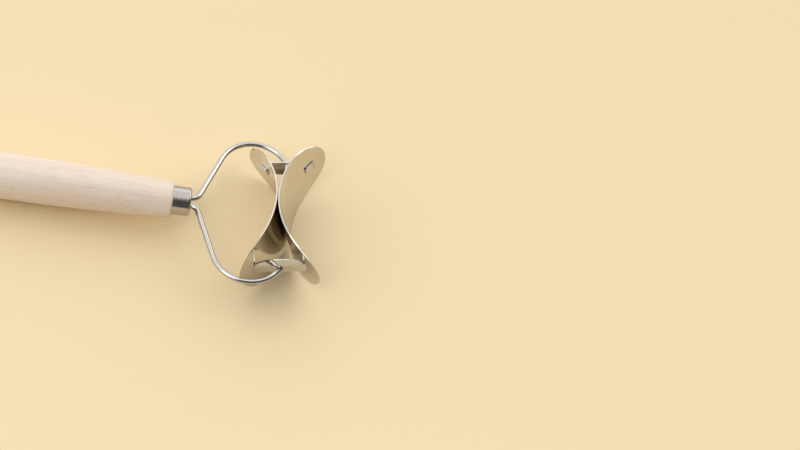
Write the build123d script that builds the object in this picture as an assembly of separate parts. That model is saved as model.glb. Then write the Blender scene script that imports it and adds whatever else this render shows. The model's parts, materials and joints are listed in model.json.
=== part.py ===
from build123d import *
import math
import os

# Round ravioli cutter: a wooden handle, a sprung wire yoke and a free-turning roller.
# The roller is two bent steel blades, back to back at the waist and held apart by two end plates.
# Millimetres. The tool lies on a table: handle towards -X, the roller's axle along Y, +Z up.
# The origin is on the table, under the middle of the tool's outline.

# Blades
roller_radius = 17.9
waist_gap = 0.4
blade_sheet = 0.6
blade_bend_radius = 40.2
roller_phase = 18.6

# End plates: a hole for the yoke's pin, an arch that leans towards the waist, and two folded tabs
plate_sheet = 0.6
plate_inset = 5.1
plate_arch_height = 6.3
plate_lean = 15.0
plate_fold_radius = 2.0
plate_side_clearance = 0.1
tab_height = 5.0
tab_length = 4.6
tab_bend_radius = 0.45
tab_corner_radius = 1.2
tab_rest_gap = 0.15
slot_clearance = 0.15

# Wire yoke, from the pins in the end plates to the tang in the handle
wire_diameter = 2.5
pin_clearance = 0.3
pin_inside_length = 3.0
pin_end_edge = 0.3
pin_bend_radius = 2.2
pin_corner_gap = 0.3
tip_clearance = 2.6
shoulder_radius = 16.8
shoulder_setback = 3.0
leg_gap = 1.5
leg_bend_radius = 4.2
leg_corner_gap = 2.9
finger_gap = 25.0
tang_length = 38.0

# Ferrule
ferrule_diameter = 13.4
ferrule_length = 8.2
ferrule_wall = 0.6
ferrule_rim_radius = 1.0
leg_hole_clearance = 0.12

# Turned handle
handle_neck_diameter = 16.3
handle_widest_diameter = 20.6
handle_widest_place = 70.0
handle_length = 115.0
neck_edge_radius = 1.0
butt_edge_radius = 6.0
tenon_clearance = 0.05
tang_clearance = 0.1

# Worked out from the sizes above
blade_bend_centre = waist_gap / 2 + blade_sheet / 2 + blade_bend_radius
tip_place = math.sqrt(blade_bend_radius**2 - (blade_bend_centre - roller_radius) ** 2)
plate_place = tip_place - plate_inset
wire_radius = wire_diameter / 2
leg_place = (wire_diameter + leg_gap) / 2
ferrule_reach = roller_radius + finger_gap
tang_end = ferrule_reach + tang_length
tenon_radius = ferrule_diameter / 2 - ferrule_wall - tenon_clearance
tenon_reach = ferrule_reach + ferrule_wall + tenon_clearance
handle_start = ferrule_reach + ferrule_length
handle_end = handle_start + handle_length
belly_drop = (handle_widest_diameter - handle_neck_diameter) / 2
belly_arc_radius = (handle_widest_place**2 + belly_drop**2) / (2 * belly_drop)


def blade(side):
    """A sheet bent to one plain arc, its closed edge cut on the cylinder that it rolls on."""
    outer = Circle(blade_bend_radius + blade_sheet / 2)
    inner = Circle(blade_bend_radius - blade_sheet / 2)
    bent = extrude(Pos(side * blade_bend_centre, 0) * (outer - inner), roller_radius, both=True)
    sheet = bent & (Rot(90, 0, 0) * Cylinder(roller_radius, 2 * blade_bend_radius))
    slot = Box(roller_radius, plate_sheet + 2 * slot_clearance, tab_height + 2 * slot_clearance)
    for end in (-1, 1):
        sheet = sheet - Pos(side * roller_radius / 2, end * plate_place, 0) * slot
    return sheet


def inner_face_reach(place):
    """Distance from the axle's upright plane to a blade's inner face, at a place along the axle."""
    return blade_bend_centre - math.sqrt((blade_bend_radius + blade_sheet / 2) ** 2 - place**2)


def tab(side):
    """A tab of the plate at +Y: out through its slot, then folded back over the blade to the waist."""
    lay_radius = blade_bend_radius - blade_sheet / 2 - tab_rest_gap - plate_sheet / 2
    angle = math.asin((plate_place - tab_length / 2) / lay_radius)
    along = (math.sin(angle), math.cos(angle))
    middle = (blade_bend_centre - lay_radius * math.cos(angle), lay_radius * math.sin(angle))
    run = (plate_place - middle[1]) / along[1]
    corner = (middle[0] + run * along[0], plate_place)
    reach = tab_length + tab_bend_radius * math.tan((math.pi / 2 + angle) / 2)
    tip = (corner[0] - reach * along[0], corner[1] - reach * along[1])
    root = (inner_face_reach(plate_place) - plate_sheet - plate_side_clearance, plate_place)
    points = [(side * x, y) for x, y in (root, corner, tip)]
    across = Plane(origin=points[0], x_dir=(0, 0, 1), z_dir=(side, 0, 0))
    path = FilletPolyline(*points, radius=tab_bend_radius)
    tongue = sweep(across * Rectangle(tab_height, plate_sheet), path=path)
    tip_edges = tongue.edges().sort_by_distance((side * tip[0], tip[1], 0))
    short = [edge for edge in tip_edges if abs(edge.length - plate_sheet) < 0.01][:2]
    return fillet(short, tab_corner_radius)


def end_plate():
    """The plate at +Y, arch up: half an oval that leans inwards, on an upright strip with two tabs."""
    half_width = inner_face_reach(plate_place - plate_sheet / 2) - plate_side_clearance
    rise = plate_arch_height - tab_height / 2
    strip = Rectangle(2 * half_width, tab_height)
    over = Pos(0, rise / 2) * Rectangle(2 * half_width, rise)
    arch = Pos(0, tab_height / 2) * (Ellipse(half_width, rise) & over)
    outline = strip + arch - Circle(wire_radius + pin_clearance)

    lean = math.radians(plate_lean)
    foot = (0, plate_place, -tab_height / 2)
    fold = (0, plate_place, tab_height / 2 + plate_fold_radius * math.tan(lean / 2))
    top = (0, fold[1] - 2 * rise * math.sin(lean), fold[2] + 2 * rise * math.cos(lean))
    path = FilletPolyline(foot, fold, top, radius=plate_fold_radius)
    across = Plane(origin=foot, x_dir=(1, 0, 0), z_dir=(0, 0, 1))
    sheet = sweep(across * Rectangle(2 * half_width, plate_sheet), path=path)
    plate = sheet & (Pos(0, plate_place, 0) * extrude(Plane.XZ * outline, 2 * rise, both=True))
    for side in (-1, 1):
        blade_room = Cylinder(blade_bend_radius + blade_sheet / 2 + plate_side_clearance, 2 * roller_radius)
        plate = plate - Pos(side * blade_bend_centre, 0, 0) * blade_room
    return plate + tab(1) + tab(-1)


def tangent_corner(near, far, centre, radius):
    """Where the tangents from two points to one circle meet, on its side away from the axle."""
    lines = []
    for point, turn in ((near, 1), (far, -1)):
        span = math.dist(point, centre)
        towards = math.atan2(centre[1] - point[1], centre[0] - point[0])
        lines.append((point, towards - turn * math.asin(radius / span)))
    (x1, y1), a1 = lines[0]
    (x2, y2), a2 = lines[1]
    step = ((x2 - x1) * math.sin(a2) - (y2 - y1) * math.cos(a2)) / math.sin(a2 - a1)
    return x1 + step * math.cos(a1), y1 + step * math.sin(a1)


def wire_yoke():
    """One round wire: on each side a pin, a wide shoulder and a leg, then a hairpin in the handle."""
    face = plate_place + plate_sheet / 2
    pin_end = (0, face - plate_sheet - pin_inside_length)
    pin_corner = (0, face + pin_corner_gap)
    leg_corner = (-ferrule_reach + leg_corner_gap, leg_place)
    widest = tip_place + tip_clearance + wire_radius
    centre = (shoulder_setback - roller_radius, widest - shoulder_radius)
    shoulder = tangent_corner(pin_corner, leg_corner, centre, shoulder_radius)
    leg_end = (-tang_end, leg_place)
    bends = [pin_bend_radius, shoulder_radius, leg_bend_radius]
    half = FilletPolyline(pin_end, pin_corner, shoulder, leg_corner, leg_end, radius=bends)
    hairpin = ThreePointArc(leg_end, (-tang_end - leg_place, 0), (-tang_end, -leg_place))
    section = Plane(origin=pin_end, z_dir=(0, 1, 0)) * Circle(wire_radius)
    wire = sweep(section, path=half + hairpin + mirror(half, about=Plane.XZ))
    ends = wire.faces().filter_by(GeomType.PLANE).edges()
    return chamfer(ends, pin_end_edge)


def ferrule():
    """A drawn steel cup over the handle's tenon, its face pierced for the yoke's two legs."""
    outside = Cylinder(ferrule_diameter / 2, ferrule_length, rotation=(0, 90, 0))
    inside = Cylinder(ferrule_diameter / 2 - ferrule_wall, ferrule_length, rotation=(0, 90, 0))
    outside = fillet(outside.faces().sort_by(Axis.X)[-1].edges(), ferrule_rim_radius)
    inside = fillet(inside.faces().sort_by(Axis.X)[-1].edges(), ferrule_rim_radius / 2)
    cup = outside - Pos(-ferrule_wall, 0, 0) * inside
    legs = SlotCenterToCenter(2 * leg_place, wire_diameter + 2 * leg_hole_clearance)
    cup = cup - extrude(Plane.YZ * legs, ferrule_length)
    return Pos(-ferrule_reach - ferrule_length / 2, 0, 0) * cup


def belly_radius(place):
    """Radius of the handle at a distance from the axle: one long arc, level at the widest place."""
    back = place - handle_start - handle_widest_place
    centre = handle_widest_diameter / 2 - belly_arc_radius
    return centre + math.sqrt(belly_arc_radius**2 - back**2)


def wooden_handle():
    """Turned handle: a tenon inside the ferrule, a long belly and a round bore for the tang."""
    neck = handle_neck_diameter / 2
    belly = (-handle_start - handle_widest_place, handle_widest_diameter / 2)
    tail = belly_radius(handle_end)
    outline = Polyline(
        (-handle_end, tail), (-handle_end, 0), (-tenon_reach, 0), (-tenon_reach, tenon_radius),
        (-handle_start, tenon_radius), (-handle_start, neck))
    long_arc = ThreePointArc((-handle_start, neck), belly, (-handle_end, tail))
    wood = revolve(make_face(outline + long_arc), axis=Axis.X)
    rims = wood.edges().filter_by(GeomType.CIRCLE).group_by(Axis.X)
    wood = fillet(rims[-1], ferrule_rim_radius)
    rims = wood.edges().filter_by(GeomType.CIRCLE)
    wood = fillet([rim for rim in rims if abs(rim.radius - neck) < 0.01], neck_edge_radius)
    wood = fillet(wood.faces().sort_by(Axis.X)[0].edges(), butt_edge_radius)
    bore_radius = leg_place + wire_radius + tang_clearance
    bore_length = tang_end + bore_radius - tenon_reach
    bore = Cylinder(bore_radius, 2 * bore_length, rotation=(0, 90, 0))
    return wood - Pos(-tenon_reach, 0, 0) * bore


def rest_tilt():
    """Angle by which the handle drops towards its butt when roller and butt lie on the table."""
    along = handle_end - butt_edge_radius
    back = along - handle_start - handle_widest_place
    below = handle_widest_diameter / 2 - belly_arc_radius
    below += math.sqrt((belly_arc_radius - butt_edge_radius) ** 2 - back**2)
    lift = math.asin((roller_radius - butt_edge_radius) / math.hypot(along, below))
    return math.degrees(lift - math.atan2(below, along))


def build():
    """Every piece in the axle's frame, lying as on the table."""
    plate = end_plate()
    roller = {
        "leading_blade": blade(1),
        "trailing_blade": blade(-1),
        "left_end_plate": Rot(0, 180, 0) * plate,
        "right_end_plate": Rot(0, 0, 180) * plate,
    }
    tool = {"wooden_handle": wooden_handle(), "ferrule": ferrule(), "wire_yoke": wire_yoke()}
    for name, shape in roller.items():
        tool[name] = Rot(0, -roller_phase, 0) * shape
    return {name: Rot(0, -rest_tilt(), 0) * shape for name, shape in tool.items()}


tool = build()
butt = tool["wooden_handle"].bounding_box().min.X
axle = Pos(-(butt + roller_radius) / 2, 0, roller_radius)

os.makedirs("parts", exist_ok=True)
for name, shape in tool.items():
    export_step(axle * shape, f"parts/{name}.step")
print(f"axle {axle.position.X:.5f} mm from the origin, handle dropped by {rest_tilt():.5f} degrees")
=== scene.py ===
"""Looks of the round ravioli cutter: a beech handle, and a polished steel wire, ferrule and roller."""
import json
import math

import bpy
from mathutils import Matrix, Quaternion, Vector

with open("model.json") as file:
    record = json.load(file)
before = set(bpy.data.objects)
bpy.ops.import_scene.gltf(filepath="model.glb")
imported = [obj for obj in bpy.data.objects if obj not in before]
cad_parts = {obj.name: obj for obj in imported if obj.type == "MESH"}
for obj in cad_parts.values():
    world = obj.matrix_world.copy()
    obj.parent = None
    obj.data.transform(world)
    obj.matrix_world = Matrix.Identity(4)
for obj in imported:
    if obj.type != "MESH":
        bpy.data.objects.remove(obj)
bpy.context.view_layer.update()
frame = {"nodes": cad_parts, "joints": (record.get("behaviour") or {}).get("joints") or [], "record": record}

# Places from the frame: the roller's axle, and the direction from the roller to the handle's end
axle = Vector(frame["joints"][0]["pos_m"])
butt_mount = next(m for m in frame["record"]["mounts"] if m["name"] == "butt_face")
handle_tilt = math.atan2(butt_mount["axis"][2], butt_mount["axis"][0])

# Camera: its place and target from the axle in metres, its roll, its lens and sensor in millimetres
CAMERA_FROM_AXLE = Vector((-0.10050, -0.31626, 0.50143))
TARGET_FROM_AXLE = Vector((0.05615, 0.00568, 0.0))
CAMERA_ROLL = math.radians(31.402)
CAMERA_LENS = 58.5
SENSOR_WIDTH = 36.0

# Floor: half its width in metres, its colour as linear light, and how rough and glossy it is
FLOOR_HALF_WIDTH = 10.0
FLOOR_COLOUR = (0.875, 0.705, 0.435)
FLOOR_ROUGHNESS = 0.75
FLOOR_GLOSS = 0.2

# Steel: colours as linear light, the share of them where it is smeared, and the roughness shares
# of its cleanest and most smeared places
SHEET_COLOUR = (0.66, 0.615, 0.545)
PLATE_COLOUR = (0.63, 0.625, 0.61)
WIRE_COLOUR = (0.58, 0.565, 0.54)
FERRULE_COLOUR = (0.51, 0.475, 0.445)
SMEAR_SHARE = 0.92
CLEAN_ROUGHNESS = 0.7
SMEARED_ROUGHNESS = 1.4

# Beech: colours as linear light, the most that each of the three darker ones shows, and roughness
WARM_WOOD = (0.81, 0.665, 0.545)
PALE_WOOD = (0.89, 0.785, 0.685)
BAND_WOOD = (0.76, 0.60, 0.47)
FIBRE_WOOD = (0.70, 0.53, 0.41)
FLECK_WOOD = (0.55, 0.34, 0.23)
BAND_SHARE = 0.45
FIBRE_SHARE = 0.35
FLECK_SHARE = 0.45
WOOD_ROUGHNESS = (0.48, 0.62)

# Relief depths in metres: the wood's grain, the steel's scratches and its slow waves
GRAIN_DEPTH = 0.0001
SCRATCH_DEPTH = 0.00005
WAVE_DEPTH = 0.001

# Room: the light's level in a ring round the room and overhead, and the share of it at the horizon
# and in the dark corner, which has a pale foot so that low views have a pale background. Each fade
# gives where a level starts and stops changing, as the cosine of the angle from straight up or from
# the dark corner's middle.
UP = (0, 0, 1)
RING_LEVEL = 1.416
TOP_LEVEL = 1.104
TOP_FADE = (0.60, 0.85)
HORIZON_SHARE = 0.55
HORIZON_FADE = (0.10, 0.35)
DARK_CORNER = (0.483, -0.836, 0.259)
DARK_SHARE = 0.08
DARK_FADE = (0.30, 0.62)
PALE_FOOT_FADE = (0.05, 0.11)

# Soft boxes: metres from the axle, degrees above it, width and height in metres, and for each one
# its degrees round the tool from +X and its watts
BOX_DISTANCE = 1.2
BOX_ELEVATION = 54
BOX_SIZE = (0.58, 0.48)
BOX_TURN_AND_WATTS = {"left_box": (225, 2.5), "right_box": (45, 1.1)}

# How often light is followed from surface to surface: the roller's inside mirrors itself many times
LIGHT_BOUNCES = 16
MIRROR_BOUNCES = 12


def place(node, key, value):
    """Sets or links a node's input, by its name or by its number as in i0."""
    numbered = key[0] == "i" and key[1:].isdigit()
    socket = node.inputs[int(key[1:]) if numbered else key]
    if isinstance(value, bpy.types.NodeSocket):
        node.id_data.links.new(value, socket)
    else:
        socket.default_value = value


def node_adder(tree):
    """Empties a node tree and gives a function that adds a node to it, with settings and inputs."""
    tree.nodes.clear()

    def add(kind, settings=None, **inputs):
        node = tree.nodes.new("ShaderNode" + kind)
        for key, value in (settings or {}).items():
            setattr(node, key, value)
        for key, value in inputs.items():
            place(node, key, value)
        return node

    return add


def new_material(name):
    """A material, its shader, and the function that adds nodes to it."""
    material = bpy.data.materials.new(name)
    material.use_nodes = True
    add = node_adder(material.node_tree)
    shader = add("BsdfPrincipled")
    add("OutputMaterial", Surface=shader.outputs[0])
    return material, shader, add


def combine(add, operation, first, second):
    """A Math node over sockets or numbers."""
    return add("Math", {"operation": operation}, i0=first, i1=second).outputs[0]


def remap(add, value, source, target, interpolation="LINEAR"):
    """A value taken from one range to another, and clamped there."""
    settings = {"clamp": True, "interpolation_type": interpolation}
    node = add("MapRange", settings, i0=value, i1=source[0], i2=source[1], i3=target[0], i4=target[1])
    return node.outputs[0]


def blend_colours(add, factor, first, second):
    """A Mix node from a colour, or another node's colour, to a second colour."""
    if not isinstance(first, bpy.types.NodeSocket):
        first = (*first, 1)
    return add("Mix", {"data_type": "RGBA"}, i0=factor, i6=first, i7=(*second, 1)).outputs[2]


def tool_coordinates(add, axis_scales):
    """Metres in the handle's own frame: X along it, from the axle, with each axis scaled."""
    here = add("TexCoord").outputs["Object"]
    moved = add("VectorMath", {"operation": "SUBTRACT"}, i0=here, i1=tuple(axle))
    turn = (0, math.pi + handle_tilt, 0)
    turned = add("Mapping", {"vector_type": "POINT"}, i0=moved.outputs[0], Rotation=turn)
    scaled = add("VectorMath", {"operation": "MULTIPLY"}, i0=turned.outputs[0], i1=axis_scales)
    return scaled.outputs[0]


def noise(add, axis_scales, scale, detail, roughness, distortion=0.0):
    """A Noise texture's factor: a small axis scale draws its pattern out along that axis."""
    node = add("TexNoise", Vector=tool_coordinates(add, axis_scales), Scale=scale, Detail=detail,
               Roughness=roughness, Distortion=distortion)
    return node.outputs["Fac"]


def beech():
    """Pale steamed beech: soft bands, long fibres and the short fine flecks of its rays, in patches."""
    material, shader, add = new_material("beech")
    tone = noise(add, (0.12, 1, 1), scale=110, detail=2.0, roughness=0.5)
    band = noise(add, (0.06, 1, 1), scale=420, detail=3.0, roughness=0.6)
    fibre = noise(add, (0.05, 1, 1), scale=2600, detail=3.0, roughness=0.6)
    fleck = noise(add, (0.085, 1, 1), scale=2100, detail=1.0, roughness=0.4)
    patch = noise(add, (0.3, 1, 1), scale=90, detail=1.0, roughness=0.5)
    sharp_flecks = remap(add, fleck, (0.60, 0.72), (0.0, 1.0))
    patches = remap(add, patch, (0.40, 0.60), (0.25, 1.0))
    flecks = combine(add, "MULTIPLY", sharp_flecks, patches)

    colour = blend_colours(add, remap(add, tone, (0.3, 0.7), (0.0, 1.0)), WARM_WOOD, PALE_WOOD)
    bands = remap(add, band, (0.35, 0.75), (0.0, BAND_SHARE))
    colour = blend_colours(add, bands, colour, BAND_WOOD)
    fibres = remap(add, fibre, (0.4, 0.8), (0.0, FIBRE_SHARE))
    colour = blend_colours(add, fibres, colour, FIBRE_WOOD)
    colour = blend_colours(add, combine(add, "MULTIPLY", flecks, FLECK_SHARE), colour, FLECK_WOOD)
    place(shader, "Base Color", colour)
    place(shader, "Roughness", remap(add, fibre, (0.3, 0.7), WOOD_ROUGHNESS))
    height = combine(add, "SUBTRACT", fibre, flecks)
    place(shader, "Normal", add("Bump", Strength=0.15, Distance=GRAIN_DEPTH, Height=height).outputs[0])
    return material


def steel(name, colour, roughness, wave, scratch):
    """Polished stainless steel: faint smears that darken and dull it, fine scratches and slow waves."""
    material, shader, add = new_material(name)
    smear = noise(add, (1, 1, 1), scale=90, detail=4.0, roughness=0.6, distortion=0.6)
    smears = remap(add, smear, (0.35, 0.7), (0.0, 1.0))
    smeared_colour = tuple(SMEAR_SHARE * part for part in colour)
    roughnesses = (roughness * CLEAN_ROUGHNESS, roughness * SMEARED_ROUGHNESS)
    place(shader, "Metallic", 1.0)
    place(shader, "Base Color", blend_colours(add, smears, colour, smeared_colour))
    place(shader, "Roughness", remap(add, smear, (0.35, 0.75), roughnesses))

    lines = noise(add, (1, 0.04, 0.6), scale=4000, detail=2.0, roughness=0.6)
    swell = noise(add, (1, 1, 1), scale=45, detail=1.0, roughness=0.4)
    fine = add("Bump", Strength=scratch, Distance=SCRATCH_DEPTH, Height=lines)
    slow = add("Bump", Strength=wave, Distance=WAVE_DEPTH, Height=swell, Normal=fine.outputs[0])
    place(shader, "Normal", slow.outputs[0])
    return material


def dress():
    """Gives every CAD node its material."""
    blades = steel("blade_steel", SHEET_COLOUR, roughness=0.14, wave=0.10, scratch=0.1)
    plates = steel("plate_steel", PLATE_COLOUR, roughness=0.12, wave=0.10, scratch=0.1)
    finishes = {
        "wooden_handle": beech(),
        "ferrule": steel("ferrule_steel", FERRULE_COLOUR, roughness=0.14, wave=0.05, scratch=0.5),
        "wire_yoke": steel("wire_steel", WIRE_COLOUR, roughness=0.10, wave=0.05, scratch=0.1),
        "leading_blade": blades,
        "trailing_blade": blades,
        "left_end_plate": plates,
        "right_end_plate": plates,
    }
    for name, node in frame["nodes"].items():
        node.data.materials.clear()
        node.data.materials.append(finishes[name])


def floor():
    """The plain pale floor."""
    half = FLOOR_HALF_WIDTH
    corners = [(-half, -half, 0), (half, -half, 0), (half, half, 0), (-half, half, 0)]
    mesh = bpy.data.meshes.new("floor")
    mesh.from_pydata(corners, [], [(0, 1, 2, 3)])
    ground = bpy.data.objects.new("floor", mesh)
    bpy.context.scene.collection.objects.link(ground)
    material, shader, add = new_material("floor")
    place(shader, "Base Color", (*FLOOR_COLOUR, 1))
    place(shader, "Roughness", FLOOR_ROUGHNESS)
    place(shader, "Specular IOR Level", FLOOR_GLOSS)
    mesh.materials.append(material)


def room():
    """A pale room, dimmer overhead and at the horizon, with one dark corner above a pale foot."""
    world = bpy.data.worlds.new("room")
    bpy.context.scene.world = world
    world.use_nodes = True
    add = node_adder(world.node_tree)
    direction = add("TexCoord").outputs["Generated"]

    def level(axis, fade, levels):
        """A light level that changes smoothly with the direction's angle from an axis."""
        cosine = add("VectorMath", {"operation": "DOT_PRODUCT"}, i0=direction, i1=axis)
        return remap(add, cosine.outputs["Value"], fade, levels, "SMOOTHSTEP")

    horizon = level(UP, HORIZON_FADE, (HORIZON_SHARE, 1.0))
    walls_and_top = level(UP, TOP_FADE, (RING_LEVEL, TOP_LEVEL))
    dark_corner = level(DARK_CORNER, DARK_FADE, (1.0, DARK_SHARE))
    pale_foot = level(UP, PALE_FOOT_FADE, (1.0, 0.0))
    corner = combine(add, "MAXIMUM", dark_corner, pale_foot)
    strength = combine(add, "MULTIPLY", combine(add, "MULTIPLY", horizon, walls_and_top), corner)
    background = add("Background", Color=(1, 1, 1, 1), Strength=strength)
    add("OutputWorld", Surface=background.outputs[0])


def soft_boxes():
    """Rectangular lamps that face the axle from both sides."""
    up = math.radians(BOX_ELEVATION)
    for name, (turn, watts) in BOX_TURN_AND_WATTS.items():
        around = math.radians(turn)
        level_reach = math.cos(up) * Vector((math.cos(around), math.sin(around), 0))
        reach = BOX_DISTANCE * (level_reach + Vector((0, 0, math.sin(up))))
        lamp = bpy.data.lights.new(name, "AREA")
        lamp.shape = "RECTANGLE"
        lamp.size, lamp.size_y = BOX_SIZE
        lamp.energy = watts
        holder = bpy.data.objects.new(name, lamp)
        holder.location = axle + reach
        holder.rotation_mode = "QUATERNION"
        holder.rotation_quaternion = (-reach).to_track_quat("-Z", "Y")
        bpy.context.scene.collection.objects.link(holder)


def camera():
    """The photograph's view of the tool."""
    lens = bpy.data.cameras.new("camera")
    lens.lens = CAMERA_LENS
    lens.sensor_width = SENSOR_WIDTH
    lens.clip_start = 0.01
    holder = bpy.data.objects.new("camera", lens)
    holder.location = axle + CAMERA_FROM_AXLE
    aim = (TARGET_FROM_AXLE - CAMERA_FROM_AXLE).to_track_quat("-Z", "Y")
    holder.rotation_mode = "QUATERNION"
    holder.rotation_quaternion = aim @ Quaternion((0, 0, 1), CAMERA_ROLL)
    bpy.context.scene.collection.objects.link(holder)
    bpy.context.scene.camera = holder


camera()
dress()
floor()
room()
soft_boxes()
bpy.context.scene.view_settings.view_transform = "Standard"
bpy.context.scene.cycles.max_bounces = LIGHT_BOUNCES
bpy.context.scene.cycles.glossy_bounces = MIRROR_BOUNCES
